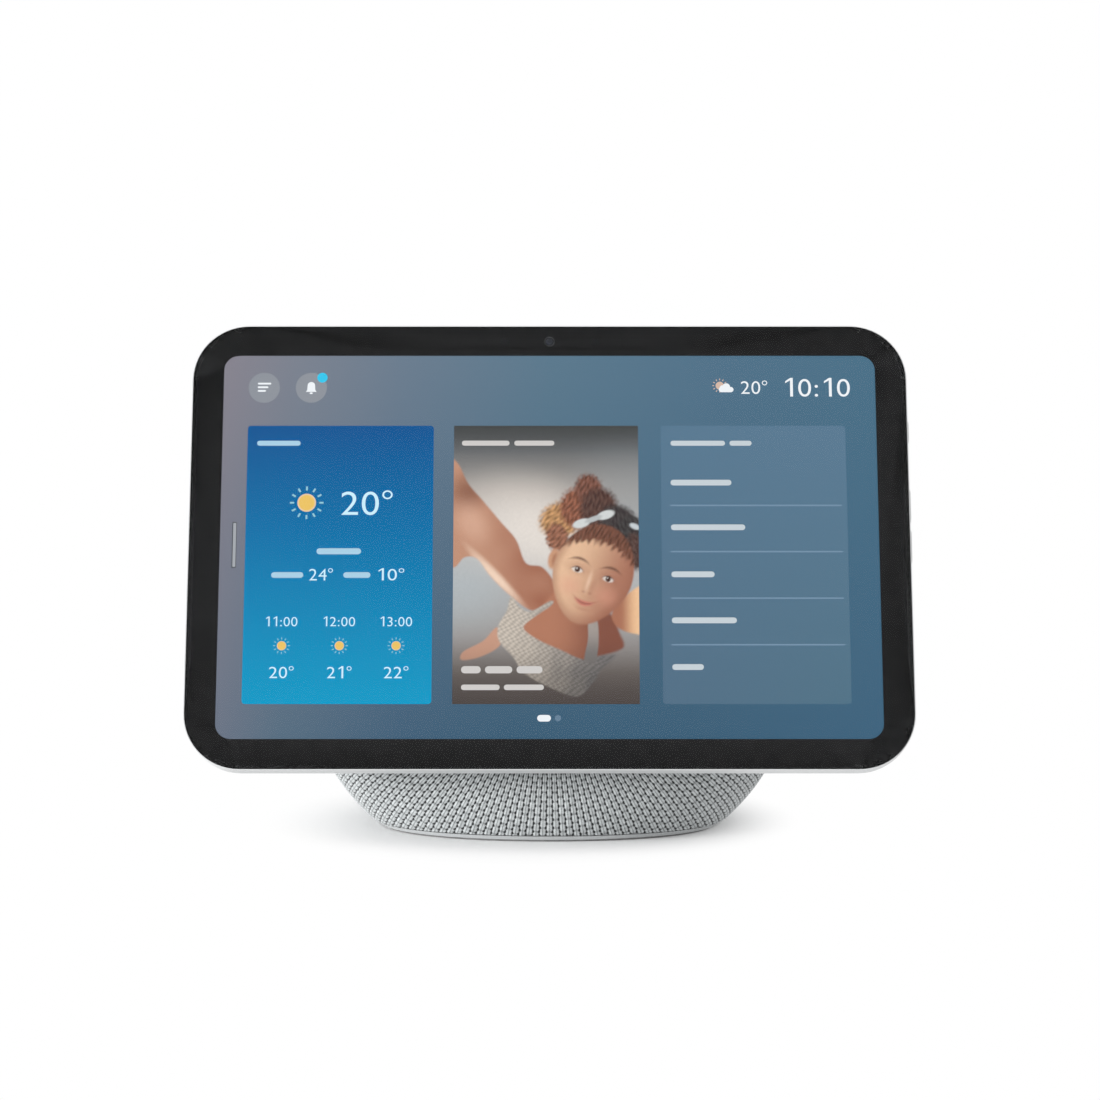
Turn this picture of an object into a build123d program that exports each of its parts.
"""A smart display: a slim glass-fronted screen carried in front of a fabric-covered speaker base.

Millimetres. The origin is the centre of the foot's underside, +X is the viewer's right,
-Y is the way the screen faces and +Z is up.
"""

import os
from math import cos, radians, sin

from build123d import *

# ---------------------------------------------------------------- driving dimensions

# room between pieces that touch: a close fit and a loose fit
clearance = 0.05
loose = 0.1

# screen: an 8.7 inch class panel, leaning back over the base
tilt = 17.8
screen_y = -39.4
screen_z = 85.9
glass_width = 207.3
glass_height = 130.6
glass_corner = 16.0
glass_thickness = 0.9
glass_chamfer = 0.1
view_width = 189.7
view_height = 113.3
view_corner = 4.4
ink_thickness = 0.15
bezel_centre = (glass_height + view_height) / 4
sensor_pitch = 13.0

# screen module and its tray
panel_width = 192.6
panel_height = 116.4
panel_depth = 1.1
panel_thickness = 1.3
backlight_thickness = 2.6
light_bar_size = (162.6, 6.0)
light_bar_centre = -50.2
light_bar_depth = 0.4
tray_width = 203.8
tray_height = 127.4
tray_corner = 14.4
tray_bottom_depth = 6.0
tray_window = (44.0, 70.0)
tray_window_corner = 6.0
tray_window_pitch = 60.0
module_gap = 0.3
module_corner = 1.0

# rear housing
lip = 0.3
display_depth = 11.5
housing_wall = 1.6
back_wall = 1.4
rear_round = 5.5

# buttons on the right-hand edge: name, height above the screen's centre, length
buttons = {
    "mic_camera": (34.0, 6.7),
    "volume_up": (11.85, 10.0),
    "volume_down": (-0.25, 10.0),
}
button_depth = 3.3
button_width = 3.0
button_proud = 0.45
button_travel = 0.4
button_gap = 0.12
button_flange = 0.6
button_round = 0.3
flange_overlap = 0.5
button_stem_radius = 0.6
button_bay_depth = 5.5
button_bay_margin = 2.5
switch_height = 0.6
switch_size = 3.0
switch_body = 0.4
switch_cap_radius = 0.9
button_board_inset = 5.0

# camera and sensors
camera_ring_radius = 1.55
camera_lens_radius = 1.15
camera_lens_thickness = 0.9
camera_lens_dome = 0.25
camera_size = 6.4
camera_height = 4.3
camera_corner = 0.4
camera_module_depth = 4.4
sensor_radius = 1.15
board_notch_width = 36.0
microphone_size = (4.0, 3.0)
microphone_height = 2.6

# circuit boards
board_thickness = 0.8
main_board_depth = 6.6
main_board_width = 88.0
main_board_height = 60.0
main_board_centre = (-40.0, 26.0)
board_corner = 2.0
board_hole_spacing = (80.0, 52.0)
board_hole_radius = 1.3
memory_centre = (-70.0, 16.0)
memory_size = (6.0, 8.0)
memory_height = 1.2
shield_centre = (-28.0, 26.0)
shield_size = (40.0, 32.0)
shield_height = 1.8
antenna_x = 68.0
antenna_size = (34.0, 5.0)
antenna_slot = (20.0, 1.4)
antenna_thickness = 0.3
amplifier_height = 12.0
amplifier_size = (56.0, 38.0)
capacitor_radius = 4.2
capacitor_height = 7.0
inductor_size = (18.0, 22.0)
inductor_height = 4.5
amplifier_y = -6.0

# speaker base: a body of revolution about the screen's normal, widened in X
pod_drop = 31.5
pod_setback = 13.5
pod_radius = 59.6
pod_face_radius = 31.45
pod_shoulder = 30.3
pod_tail = 67.6
pod_widening = 1.21
fabric_thickness = 1.2
fabric_gap = 0.3
shell_gap = 0.1
shell_wall = 2.6
parting_y = 8.0

# foot, base plate and its screws
foot_height = 0.6
flange_height = 1.1
foot_inset = 0.6
flange_inset = 0.25
spigot_height = 1.6
screw_x = 34.0
screw_y = 18.0
boss_height = 10.0
boss_radius = 4.5
rib_length = 24.0
rib_thickness = 3.0
base_screw_radius = 1.4
base_screw_head = 2.6
base_head_height = 1.4
base_screw_length = 9.0
base_screw_drive = 1.1
ballast_size = (54.0, 56.0)
ballast_corner = 6.0
ballast_thickness = 6.0
ballast_chamfer = 1.0

# neck between the screen and the base
neck_radius = 16.5
neck_bore = 12.5
neck_flange_radius = 22.0
collar_radius = 24.0
clamp_radius = 25.0
neck_screw_circle = 14.5
neck_screw_radius = 1.1
neck_screw_grip = 5.0
neck_screw_head = 1.8
neck_head_height = 1.4
neck_screw_drive = 0.8
drive_depth = 0.8
screw_end_room = 0.5
neck_flange = 1.6
clamp_thickness = 2.5

# flat ribbon through the neck: distance behind the base's face, and height
ribbon_route = [(-5.6, 25), (-5.6, 0), (22, -1), (34, -26)]
ribbon_bend = 4.0
ribbon_thickness = 0.3
ribbon_width = 12.0

# power inlet, at the tail of the base
recess_radius = 5.25
recess_depth = 6.0
bezel_radius = 7.4
jack_bore = 2.75
jack_pin = 1.0
jack_bore_depth = 9.5
jack_length = 14.0
jack_size = 12.0
bezel_chamfer = 0.4

# loudspeakers: centre of the flange, firing direction, flange radius, depth
woofer_size = (32.0, 26.0)
driver_size = (19.0, 19.0)
woofer_centre = (0, 22.5, 50)
driver_centre = (51.5, -4, 44)
baffle_gap = 0.45
baffle_room = 0.25
baffle_thickness = 2.5
baffle_floor = 16.0
woofer_slot = (36.0, 3.0)
woofer_slot_pitch = 8.0
driver_slot = (26.0, 2.6)
driver_slot_pitch = 7.0

# ---------------------------------------------------------------- frames

lean = radians(tilt)
glass_plane = Plane(origin=(0, screen_y, screen_z), x_dir=(1, 0, 0), z_dir=(0, -cos(lean), sin(lean)))
pod_origin = glass_plane.from_local_coords((0, -pod_drop, -pod_setback))
pod_plane = Plane(origin=pod_origin, x_dir=(1, 0, 0), z_dir=glass_plane.z_dir)
pod_axis = Axis(pod_origin, -glass_plane.z_dir)
facing = Axis(glass_plane.origin, glass_plane.z_dir)
pod_section = Plane(origin=pod_origin, x_dir=-glass_plane.z_dir, z_dir=(1, 0, 0))

# ---------------------------------------------------------------- sizes that follow from them

backlight_depth = panel_depth + panel_thickness + backlight_thickness
housing_width = glass_width + 2 * lip
housing_height = glass_height + 2 * lip
cavity_width = housing_width - 2 * housing_wall
cavity_height = housing_height - 2 * housing_wall
edge_plane = Plane(
    origin=glass_plane.from_local_coords((housing_width / 2, 0, 0)),
    x_dir=-glass_plane.z_dir,
    z_dir=(1, 0, 0),
)
button_tops = [height + length / 2 for height, length in buttons.values()]
button_feet = [height - length / 2 for height, length in buttons.values()]
button_middle = (max(button_tops) + min(button_feet)) / 2
button_bay_length = max(button_tops) - min(button_feet) + 2 * button_bay_margin
board_face = button_board_inset
flange_start = housing_wall + button_travel + loose
stem_start = flange_start + button_flange
stem_end = board_face - switch_height - button_travel - loose
neck_front = display_depth - back_wall - neck_flange
shell_outer = fabric_thickness + shell_gap
shell_inner = shell_outer + shell_wall
clamp_depth = pod_setback + shell_inner
flange_top = foot_height + flange_height
spigot_top = flange_top + spigot_height
tail_end = pod_shoulder + pod_tail
recess_floor = tail_end - recess_depth
pieces = {}


def behind_glass(depth):
    """The plane that lies this far behind the front of the glass."""
    return glass_plane.offset(-depth)


def along_pod(distance):
    """The plane across the base's axis, this far behind the base's front face."""
    return pod_plane.offset(-distance)


def pod_solid(inset):
    """The base's outer form, drawn in by an inset: a blunt front, a wide shoulder, a round tail."""
    radius = pod_radius - inset
    width = (pod_widening * pod_radius - inset) / radius
    with BuildPart() as pod:
        with BuildSketch(pod_section):
            with BuildLine():
                Line((inset, 0), (inset, pod_face_radius))
                EllipticalCenterArc(
                    (pod_shoulder, pod_face_radius),
                    pod_shoulder - inset,
                    radius - pod_face_radius,
                    start_angle=90,
                    arc_size=90,
                )
                EllipticalCenterArc((pod_shoulder, 0), pod_tail - inset, radius, start_angle=0, arc_size=90)
                Line((pod_shoulder + pod_tail - inset, 0), (inset, 0))
            make_face()
        revolve(axis=pod_axis)
        scale(by=(width, 1, 1))
    return pod.part


def pod_layer(inset, low, high):
    """The part of the base's form between two heights."""
    with BuildPart() as layer:
        add(pod_solid(inset))
        split(bisect_by=Plane.XY.offset(low), keep=Keep.TOP)
        split(bisect_by=Plane.XY.offset(high), keep=Keep.BOTTOM)
    return layer.part


# ---------------------------------------------------------------- cover glass and screen module

with BuildPart() as cover_glass:
    with BuildSketch(behind_glass(0)):
        RectangleRounded(glass_width, glass_height, glass_corner)
    extrude(amount=-glass_thickness)
    chamfer(cover_glass.faces().sort_by(facing)[-1].edges(), length=glass_chamfer)
pieces["cover_glass"] = cover_glass

with BuildPart() as glass_border_ink:
    with BuildSketch(behind_glass(glass_thickness)):
        RectangleRounded(glass_width, glass_height, glass_corner)
        RectangleRounded(view_width, view_height, view_corner, mode=Mode.SUBTRACT)
        with Locations((0, bezel_centre)):
            Circle(camera_ring_radius, mode=Mode.SUBTRACT)
        with Locations((-sensor_pitch, bezel_centre), (sensor_pitch, bezel_centre)):
            Circle(sensor_radius, mode=Mode.SUBTRACT)
    extrude(amount=-ink_thickness)
pieces["glass_border_ink"] = glass_border_ink

with BuildPart() as lcd_panel:
    with BuildSketch(behind_glass(panel_depth)):
        RectangleRounded(panel_width, panel_height, module_corner)
    extrude(amount=-panel_thickness)
pieces["lcd_panel"] = lcd_panel

with BuildPart() as backlight_unit:
    with BuildSketch(behind_glass(panel_depth + panel_thickness)):
        RectangleRounded(panel_width, panel_height, module_corner)
    extrude(amount=-backlight_thickness)
    with BuildSketch(behind_glass(backlight_depth)):
        with Locations((0, light_bar_centre)):
            Rectangle(*light_bar_size)
    extrude(amount=light_bar_depth, mode=Mode.SUBTRACT)
pieces["backlight_unit"] = backlight_unit

with BuildPart() as display_midframe:
    with BuildSketch(behind_glass(panel_depth)):
        RectangleRounded(tray_width, tray_height, tray_corner)
    extrude(amount=panel_depth - tray_bottom_depth)
    with BuildSketch(behind_glass(panel_depth)):
        RectangleRounded(panel_width + module_gap, panel_height + module_gap, module_corner + module_gap / 2)
    extrude(amount=panel_depth - backlight_depth - clearance, mode=Mode.SUBTRACT)
    with BuildSketch(behind_glass(panel_depth)):
        with Locations((0, tray_height / 2)):
            Rectangle(board_notch_width, tray_height - panel_height)
        with Locations((tray_width / 2, button_middle)):
            Rectangle(2 * button_bay_depth, button_bay_length)
        with GridLocations(tray_window_pitch, 1, 3, 1):
            RectangleRounded(*tray_window, tray_window_corner)
    extrude(amount=-display_depth, mode=Mode.SUBTRACT)
pieces["display_midframe"] = display_midframe

# ---------------------------------------------------------------- camera and sensors in the top border

with BuildPart() as camera_ring:
    with BuildSketch(behind_glass(glass_thickness)):
        with Locations((0, bezel_centre)):
            Circle(camera_ring_radius - clearance)
            Circle(camera_lens_radius + clearance, mode=Mode.SUBTRACT)
    extrude(amount=-ink_thickness)
pieces["camera_ring"] = camera_ring

with BuildPart() as camera_lens:
    with BuildSketch(behind_glass(glass_thickness + clearance)):
        with Locations((0, bezel_centre)):
            Circle(camera_lens_radius)
    extrude(amount=-camera_lens_thickness)
    fillet(camera_lens.faces().sort_by(facing)[-1].edges(), radius=camera_lens_dome)
pieces["camera_lens"] = camera_lens

with BuildPart() as camera_module:
    with BuildSketch(behind_glass(panel_depth)):
        with Locations((0, bezel_centre)):
            RectangleRounded(camera_size, camera_height, camera_corner)
    extrude(amount=-camera_module_depth)
    with BuildSketch(behind_glass(panel_depth)):
        with Locations((0, bezel_centre)):
            Circle(camera_lens_radius + clearance)
    extrude(amount=-camera_lens_thickness, mode=Mode.SUBTRACT)
pieces["camera_module"] = camera_module

for side, x in (("left", -sensor_pitch), ("right", sensor_pitch)):
    with BuildPart() as sensor_window:
        with BuildSketch(behind_glass(glass_thickness)):
            with Locations((x, bezel_centre)):
                Circle(sensor_radius - clearance)
        extrude(amount=-ink_thickness)
    pieces[f"sensor_window_{side}"] = sensor_window

with BuildPart() as camera_board:
    with BuildSketch(behind_glass(panel_depth + camera_module_depth + clearance)):
        with Locations((0, bezel_centre)):
            Rectangle(board_notch_width - 1, camera_height)
    extrude(amount=-board_thickness)
    with BuildSketch(behind_glass(panel_depth + camera_module_depth + clearance)):
        with Locations((-sensor_pitch, bezel_centre), (sensor_pitch, bezel_centre)):
            Rectangle(*microphone_size)
    extrude(amount=microphone_height)
pieces["camera_board"] = camera_board

# ---------------------------------------------------------------- rear housing

with BuildPart() as housing_cavity:
    with BuildSketch(behind_glass(glass_thickness + ink_thickness)):
        RectangleRounded(cavity_width, cavity_height, tray_corner + module_gap)
    extrude(amount=-(display_depth - back_wall - glass_thickness - ink_thickness))
    fillet(housing_cavity.faces().sort_by(facing)[0].edges(), radius=rear_round - back_wall)

with BuildPart() as rear_housing:
    with BuildSketch(behind_glass(lip)):
        RectangleRounded(housing_width, housing_height, glass_corner + lip)
    extrude(amount=-(display_depth - lip))
    fillet(rear_housing.faces().sort_by(facing)[0].edges(), radius=rear_round)
    with BuildSketch(behind_glass(0)):
        RectangleRounded(glass_width + loose, glass_height + loose, glass_corner)
    extrude(amount=-(glass_thickness + ink_thickness), mode=Mode.SUBTRACT)
    add(housing_cavity.part, mode=Mode.SUBTRACT)
    with BuildSketch(behind_glass(display_depth)):
        with Locations((0, -pod_drop)):
            Circle(neck_radius + loose)
    extrude(amount=2 * back_wall, both=True, mode=Mode.SUBTRACT)
    with BuildSketch(edge_plane):
        for height, length in buttons.values():
            with Locations((button_depth, height)):
                SlotOverall(length + 2 * button_gap, button_width + 2 * button_gap, rotation=90)
    extrude(amount=-2 * housing_wall, mode=Mode.SUBTRACT)
pieces["rear_housing"] = rear_housing

# ---------------------------------------------------------------- buttons and their switches

for name, (height, length) in buttons.items():
    with BuildPart() as button:
        with BuildSketch(edge_plane.offset(button_proud)):
            with Locations((button_depth, height)):
                SlotOverall(length, button_width, rotation=90)
        extrude(amount=-(button_proud + flange_start))
        fillet(button.faces().sort_by(Axis.X)[-1].edges(), radius=button_round)
        with BuildSketch(edge_plane.offset(-flange_start)):
            with Locations((button_depth, height)):
                SlotOverall(length + 2 * flange_overlap, button_width + 2 * flange_overlap, rotation=90)
        extrude(amount=-button_flange)
        with BuildSketch(edge_plane.offset(-stem_start)):
            with Locations((button_depth, height)):
                Circle(button_stem_radius)
        extrude(amount=-(stem_end - stem_start))
    pieces[f"{name}_button"] = button

with BuildPart() as button_board:
    with BuildSketch(edge_plane.offset(-board_face)):
        with Locations((button_depth, button_middle)):
            Rectangle(button_width + switch_height, button_bay_length - button_bay_margin)
    extrude(amount=-board_thickness)
pieces["button_board"] = button_board

for name, (height, length) in buttons.items():
    with BuildPart() as switch:
        with BuildSketch(edge_plane.offset(-board_face)):
            with Locations((button_depth, height)):
                Rectangle(switch_size, switch_size)
        extrude(amount=switch_body)
        with BuildSketch(edge_plane.offset(switch_body - board_face)):
            with Locations((button_depth, height)):
                Circle(switch_cap_radius)
        extrude(amount=switch_height - switch_body)
    pieces[f"{name}_switch"] = switch

# ---------------------------------------------------------------- boards and antennas behind the screen

with BuildPart() as main_board:
    with BuildSketch(behind_glass(main_board_depth)):
        with Locations(main_board_centre):
            RectangleRounded(main_board_width, main_board_height, board_corner)
        with Locations(main_board_centre):
            with GridLocations(*board_hole_spacing, 2, 2):
                Circle(board_hole_radius, mode=Mode.SUBTRACT)
    extrude(amount=-board_thickness)
    with BuildSketch(behind_glass(main_board_depth + board_thickness)):
        with Locations(memory_centre):
            with GridLocations(9, 12, 2, 3):
                Rectangle(*memory_size)
    extrude(amount=-memory_height)
pieces["main_board"] = main_board

with BuildPart() as soc_shield:
    with BuildSketch(behind_glass(main_board_depth + board_thickness)):
        with Locations(shield_centre):
            RectangleRounded(*shield_size, module_corner)
    extrude(amount=-shield_height)
pieces["soc_shield"] = soc_shield

for side, x in (("left", -antenna_x), ("right", antenna_x)):
    with BuildPart() as antenna:
        with BuildSketch(behind_glass(tray_bottom_depth + loose)):
            with Locations((x, bezel_centre - 2)):
                RectangleRounded(*antenna_size, 0.8)
                with Locations((4, 0)):
                    RectangleRounded(*antenna_slot, 0.4, mode=Mode.SUBTRACT)
        extrude(amount=-antenna_thickness)
    pieces[f"antenna_{side}"] = antenna

# ---------------------------------------------------------------- neck

with BuildPart() as neck_post:
    with BuildSketch(behind_glass(neck_front)):
        with Locations((0, -pod_drop)):
            Circle(neck_flange_radius)
    extrude(amount=-neck_flange)
    with BuildSketch(behind_glass(neck_front)):
        with Locations((0, -pod_drop)):
            Circle(neck_radius)
    extrude(amount=-(clamp_depth - neck_front))
    with BuildSketch(behind_glass(neck_front)):
        with Locations((0, -pod_drop)):
            Circle(neck_bore)
    extrude(amount=-(clamp_depth - neck_front), mode=Mode.SUBTRACT)
    with BuildSketch(behind_glass(clamp_depth)):
        with Locations((0, -pod_drop)):
            with PolarLocations(neck_screw_circle, 4, start_angle=45):
                Circle(neck_screw_radius + clearance)
    extrude(amount=neck_screw_grip, mode=Mode.SUBTRACT)
pieces["neck_post"] = neck_post

with BuildPart() as neck_collar:
    with BuildSketch(behind_glass(display_depth + clearance)):
        with Locations((0, -pod_drop)):
            Circle(collar_radius)
            Circle(neck_radius + loose, mode=Mode.SUBTRACT)
    extrude(amount=-(pod_setback + shell_outer - display_depth - loose))
pieces["neck_collar"] = neck_collar

with BuildPart() as neck_clamp_ring:
    with BuildSketch(behind_glass(clamp_depth)):
        with Locations((0, -pod_drop)):
            Circle(clamp_radius)
            Circle(neck_bore, mode=Mode.SUBTRACT)
            with PolarLocations(neck_screw_circle, 4, start_angle=45):
                Circle(neck_screw_radius + clearance, mode=Mode.SUBTRACT)
    extrude(amount=-clamp_thickness)
pieces["neck_clamp_ring"] = neck_clamp_ring

for number in range(4):
    turn = radians(45 + 90 * number)
    centre = (neck_screw_circle * cos(turn), neck_screw_circle * sin(turn) - pod_drop)
    with BuildPart() as neck_screw:
        with BuildSketch(behind_glass(clamp_depth + clamp_thickness)):
            with Locations(centre):
                Circle(neck_screw_radius)
        extrude(amount=clamp_thickness + neck_screw_grip - screw_end_room)
        with BuildSketch(behind_glass(clamp_depth + clamp_thickness)):
            with Locations(centre):
                Circle(neck_screw_head)
        extrude(amount=-neck_head_height)
        with BuildSketch(behind_glass(clamp_depth + clamp_thickness + neck_head_height)):
            with Locations(centre):
                RegularPolygon(neck_screw_drive, 6)
        extrude(amount=drive_depth, mode=Mode.SUBTRACT)
    pieces[f"neck_screw_{number + 1}"] = neck_screw

with BuildPart() as display_ribbon:
    with BuildSketch(pod_section):
        with BuildLine():
            FilletPolyline(*ribbon_route, radius=ribbon_bend)
        trace(line_width=ribbon_thickness)
    extrude(amount=ribbon_width / 2, both=True)
pieces["display_ribbon"] = display_ribbon

# ---------------------------------------------------------------- base: shells, fabric, foot

with BuildPart() as shell_bosses:
    with BuildSketch(Plane.XY.offset(spigot_top + loose)):
        with GridLocations(2 * screw_x, 2 * screw_y, 2, 2):
            Circle(boss_radius)
        with GridLocations(2 * (screw_x + rib_length / 2), 2 * screw_y, 2, 2):
            Rectangle(rib_length, rib_thickness)
    extrude(amount=boss_height)
    add(pod_solid(shell_outer + rib_thickness / 6), mode=Mode.INTERSECT)

with BuildPart() as pod_shell:
    add(pod_layer(shell_outer, flange_top, 2 * screen_z))
    add(pod_solid(shell_inner), mode=Mode.SUBTRACT)
    add(shell_bosses.part)
    with BuildSketch(Plane.XY.offset(spigot_top)):
        with GridLocations(2 * screw_x, 2 * screw_y, 2, 2):
            Circle(base_screw_radius + clearance)
    extrude(amount=boss_height - 2, mode=Mode.SUBTRACT)
    with BuildSketch(along_pod(0)):
        Circle(neck_radius + loose)
    extrude(amount=-2 * shell_inner, mode=Mode.SUBTRACT)
    with BuildSketch(along_pod(tail_end)):
        Circle(bezel_radius + loose)
    extrude(amount=4 * recess_depth, both=True, mode=Mode.SUBTRACT)
    with BuildSketch(Plane.XZ.offset(-woofer_centre[1])):
        with Locations((0, woofer_centre[2])):
            with GridLocations(woofer_slot_pitch, 1, 7, 1):
                SlotOverall(*woofer_slot, rotation=90)
    extrude(amount=-3 * woofer_size[0], mode=Mode.SUBTRACT)
    with BuildSketch(Plane.YZ):
        with Locations((driver_centre[1], driver_centre[2])):
            with GridLocations(driver_slot_pitch, 1, 5, 1):
                SlotOverall(*driver_slot, rotation=90)
    extrude(amount=2 * driver_centre[0], both=True, mode=Mode.SUBTRACT)

with BuildPart() as pod_front_shell:
    add(pod_shell.part)
    split(bisect_by=Plane.XZ.offset(-parting_y), keep=Keep.TOP)
pieces["pod_front_shell"] = pod_front_shell

with BuildPart() as pod_rear_shell:
    add(pod_shell.part)
    split(bisect_by=Plane.XZ.offset(-parting_y), keep=Keep.BOTTOM)
pieces["pod_rear_shell"] = pod_rear_shell

with BuildPart() as fabric_sleeve:
    add(pod_layer(0, flange_top, 2 * screen_z))
    add(pod_solid(fabric_thickness), mode=Mode.SUBTRACT)
    with BuildSketch(along_pod(0)):
        Circle(collar_radius + fabric_gap)
    extrude(amount=-2 * fabric_thickness, mode=Mode.SUBTRACT)
    with BuildSketch(along_pod(tail_end)):
        Circle(bezel_radius + fabric_gap)
    extrude(amount=4 * recess_depth, both=True, mode=Mode.SUBTRACT)
pieces["fabric_sleeve"] = fabric_sleeve

with BuildPart() as foot_pad:
    add(pod_layer(foot_inset, 0, foot_height))
pieces["foot_pad"] = foot_pad

with BuildPart() as base_plate:
    add(pod_layer(flange_inset, foot_height, flange_top))
    add(pod_layer(shell_inner + 2 * loose, foot_height, spigot_top))
    with BuildSketch(Plane.XY.offset(foot_height)):
        with GridLocations(2 * screw_x, 2 * screw_y, 2, 2):
            Circle(base_screw_head + loose)
    extrude(amount=base_head_height + loose, mode=Mode.SUBTRACT)
    with BuildSketch(Plane.XY.offset(foot_height)):
        with GridLocations(2 * screw_x, 2 * screw_y, 2, 2):
            Circle(base_screw_radius + loose)
    extrude(amount=spigot_top, mode=Mode.SUBTRACT)
pieces["base_plate"] = base_plate

corners = [(screw_x, screw_y), (-screw_x, screw_y), (-screw_x, -screw_y), (screw_x, -screw_y)]
for number, corner in enumerate(corners, start=1):
    with BuildPart() as base_screw:
        with BuildSketch(Plane.XY.offset(foot_height + clearance)):
            with Locations(corner):
                Circle(base_screw_head)
        extrude(amount=base_head_height)
        with BuildSketch(Plane.XY.offset(foot_height + clearance)):
            with Locations(corner):
                Circle(base_screw_radius)
        extrude(amount=base_screw_length)
        with BuildSketch(Plane.XY.offset(foot_height + clearance)):
            with Locations(corner):
                RegularPolygon(base_screw_drive, 6)
        extrude(amount=drive_depth, mode=Mode.SUBTRACT)
    pieces[f"base_screw_{number}"] = base_screw

with BuildPart() as ballast_weight:
    with BuildSketch(Plane.XY.offset(spigot_top + loose)):
        RectangleRounded(*ballast_size, ballast_corner)
    extrude(amount=ballast_thickness)
    chamfer(ballast_weight.faces().sort_by(Axis.Z)[-1].edges(), length=ballast_chamfer)
pieces["ballast_weight"] = ballast_weight

# ---------------------------------------------------------------- power

with BuildPart() as amplifier_board:
    with BuildSketch(Plane.XY.offset(amplifier_height)):
        with Locations((0, amplifier_y)):
            RectangleRounded(*amplifier_size, board_corner)
    extrude(amount=board_thickness)
    with BuildSketch(Plane.XY.offset(amplifier_height + board_thickness)):
        with Locations((-16, amplifier_y - 4)):
            with GridLocations(12, 13, 2, 2):
                Circle(capacitor_radius)
    extrude(amount=capacitor_height)
    with BuildSketch(Plane.XY.offset(amplifier_height + board_thickness)):
        with Locations((16, amplifier_y - 3)):
            RectangleRounded(*inductor_size, 1.0)
    extrude(amount=inductor_height)
pieces["amplifier_board"] = amplifier_board

with BuildPart() as dc_jack:
    with BuildSketch(along_pod(recess_floor)):
        Rectangle(jack_size, jack_size)
    extrude(amount=jack_length)
    with BuildSketch(along_pod(recess_floor)):
        Circle(jack_bore)
        Circle(jack_pin, mode=Mode.SUBTRACT)
    extrude(amount=jack_bore_depth, mode=Mode.SUBTRACT)
pieces["dc_jack"] = dc_jack

with BuildPart() as dc_jack_bezel:
    with BuildSketch(along_pod(tail_end)):
        Circle(bezel_radius)
        Circle(recess_radius, mode=Mode.SUBTRACT)
    extrude(amount=recess_depth - clearance)
    chamfer(dc_jack_bezel.edges().filter_by(GeomType.CIRCLE).group_by(pod_axis)[-1], length=bezel_chamfer)
pieces["dc_jack_bezel"] = dc_jack_bezel

# ---------------------------------------------------------------- loudspeakers


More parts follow.
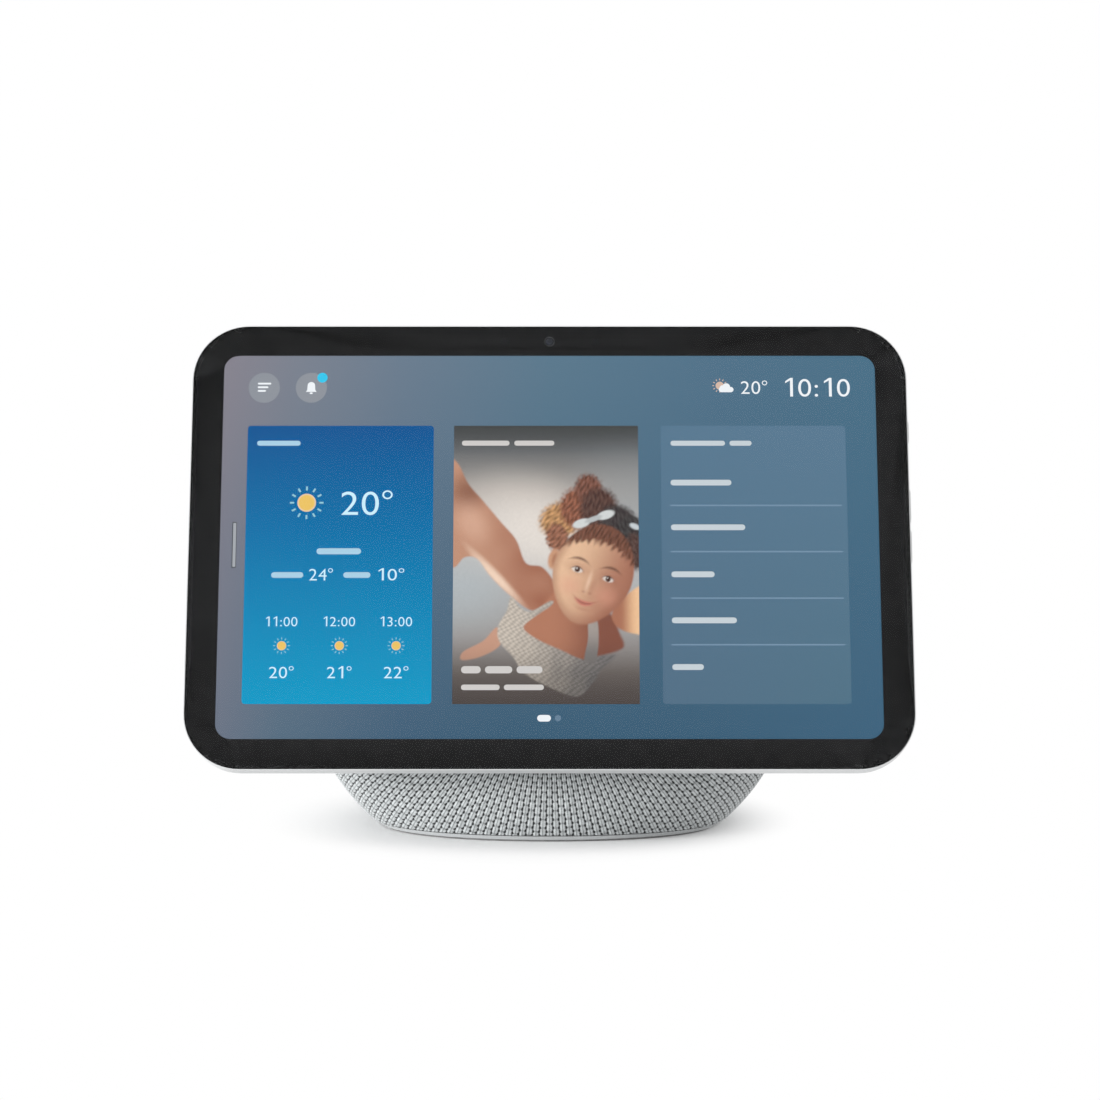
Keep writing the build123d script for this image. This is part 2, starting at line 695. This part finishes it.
def loudspeaker(centre, firing, radial, size):
    """The frame, magnet, surround and cone of one drive unit, turned about its firing axis."""
    rim, depth = size
    section = Plane(origin=centre, x_dir=radial, z_dir=Vector(radial).cross(Vector(firing)))
    axis = Axis(centre, firing)

    with BuildPart() as frame:
        with BuildSketch(section):
            with BuildLine():
                Polyline(
                    (rim, 0),
                    (rim, -2),
                    (0.9 * rim, -2),
                    (0.54 * rim, -0.6 * depth),
                    (0.3 * rim, -0.6 * depth),
                    (0.3 * rim, -0.53 * depth),
                    (0.49 * rim, -0.53 * depth),
                    (0.84 * rim, 0),
                    close=True,
                )
            make_face()
        revolve(axis=axis)
    with BuildPart() as magnet:
        with BuildSketch(section):
            with Locations((0, -0.95 * depth)):
                Rectangle(0.5 * rim, 0.1 * depth, align=(Align.MIN, Align.CENTER))
            with Locations((0.31 * rim, -0.61 * depth)):
                Rectangle(0.19 * rim, 0.3 * depth, align=(Align.MIN, Align.MAX))
            with Locations((0, -0.61 * depth)):
                Rectangle(0.2 * rim, 0.3 * depth, align=(Align.MIN, Align.MAX))
        revolve(axis=axis)
    with BuildPart() as surround:
        with BuildSketch(section):
            with Locations((0.78 * rim, 0)):
                Circle(0.07 * rim)
                Circle(0.07 * rim - 0.5, mode=Mode.SUBTRACT)
            with Locations((0.78 * rim, 0)):
                Rectangle(0.2 * rim, 0.2 * rim, align=(Align.CENTER, Align.MAX), mode=Mode.SUBTRACT)
            with Locations((0.845 * rim, 0)):
                Rectangle(0.1 * rim, 0.4, align=(Align.MIN, Align.MIN))
        revolve(axis=axis)
    with BuildPart() as cone:
        with BuildSketch(section):
            with BuildLine():
                Polyline(
                    (0, -0.42 * depth),
                    (0.23 * rim, -0.45 * depth),
                    (0.68 * rim, -0.9),
                    (0.68 * rim, -1.7),
                    (0.265 * rim, -0.48 * depth),
                    (0.265 * rim, -0.8 * depth),
                    (0.235 * rim, -0.8 * depth),
                    (0.235 * rim, -0.48 * depth),
                    (0, -0.45 * depth),
                    close=True,
                )
            make_face()
        revolve(axis=axis)
    return {"frame": frame, "magnet": magnet, "surround": surround, "cone": cone}


def baffle(plane, hole_plane, radius):
    """A wall across the inside of the base, with the drive unit's opening in it."""
    with BuildPart() as wall:
        add(pod_layer(shell_inner + baffle_room, baffle_floor, 2 * screen_z))
        split(bisect_by=plane, keep=Keep.TOP)
        split(bisect_by=plane.offset(baffle_thickness), keep=Keep.BOTTOM)
        with BuildSketch(hole_plane):
            Circle(radius)
        extrude(amount=2 * baffle_thickness, both=True, mode=Mode.SUBTRACT)
    return wall


woofer_front = woofer_centre[1] + baffle_gap
woofer_hole = Plane(origin=woofer_centre, x_dir=(1, 0, 0), z_dir=(0, 1, 0))
woofer_wall = Plane(origin=(0, woofer_front, 0), z_dir=(0, 1, 0))
pieces["woofer_baffle"] = baffle(woofer_wall, woofer_hole, 0.96 * woofer_size[0])
for name, piece in loudspeaker(woofer_centre, (0, 1, 0), (1, 0, 0), woofer_size).items():
    pieces[f"woofer_{name}"] = piece

for side, sign in (("left", -1), ("right", 1)):
    centre = (sign * driver_centre[0], driver_centre[1], driver_centre[2])
    firing = (sign, 0, 0)
    wall_start = Plane(origin=(centre[0] + sign * baffle_gap, 0, 0), z_dir=firing)
    with BuildPart() as driver_baffle:
        add(baffle(wall_start, Plane(origin=centre, z_dir=firing), 0.96 * driver_size[0]).part)
        split(bisect_by=Plane.XZ.offset(-(woofer_centre[1] - 0.5)), keep=Keep.TOP)
    pieces[f"driver_baffle_{side}"] = driver_baffle
    for name, piece in loudspeaker(centre, firing, (0, 0, 1), driver_size).items():
        pieces[f"driver_{name}_{side}"] = piece

# ---------------------------------------------------------------- one file for each piece

os.makedirs("parts", exist_ok=True)
for name, piece in pieces.items():
    piece.part.label = name
    export_step(piece.part, f"parts/{name}.step")
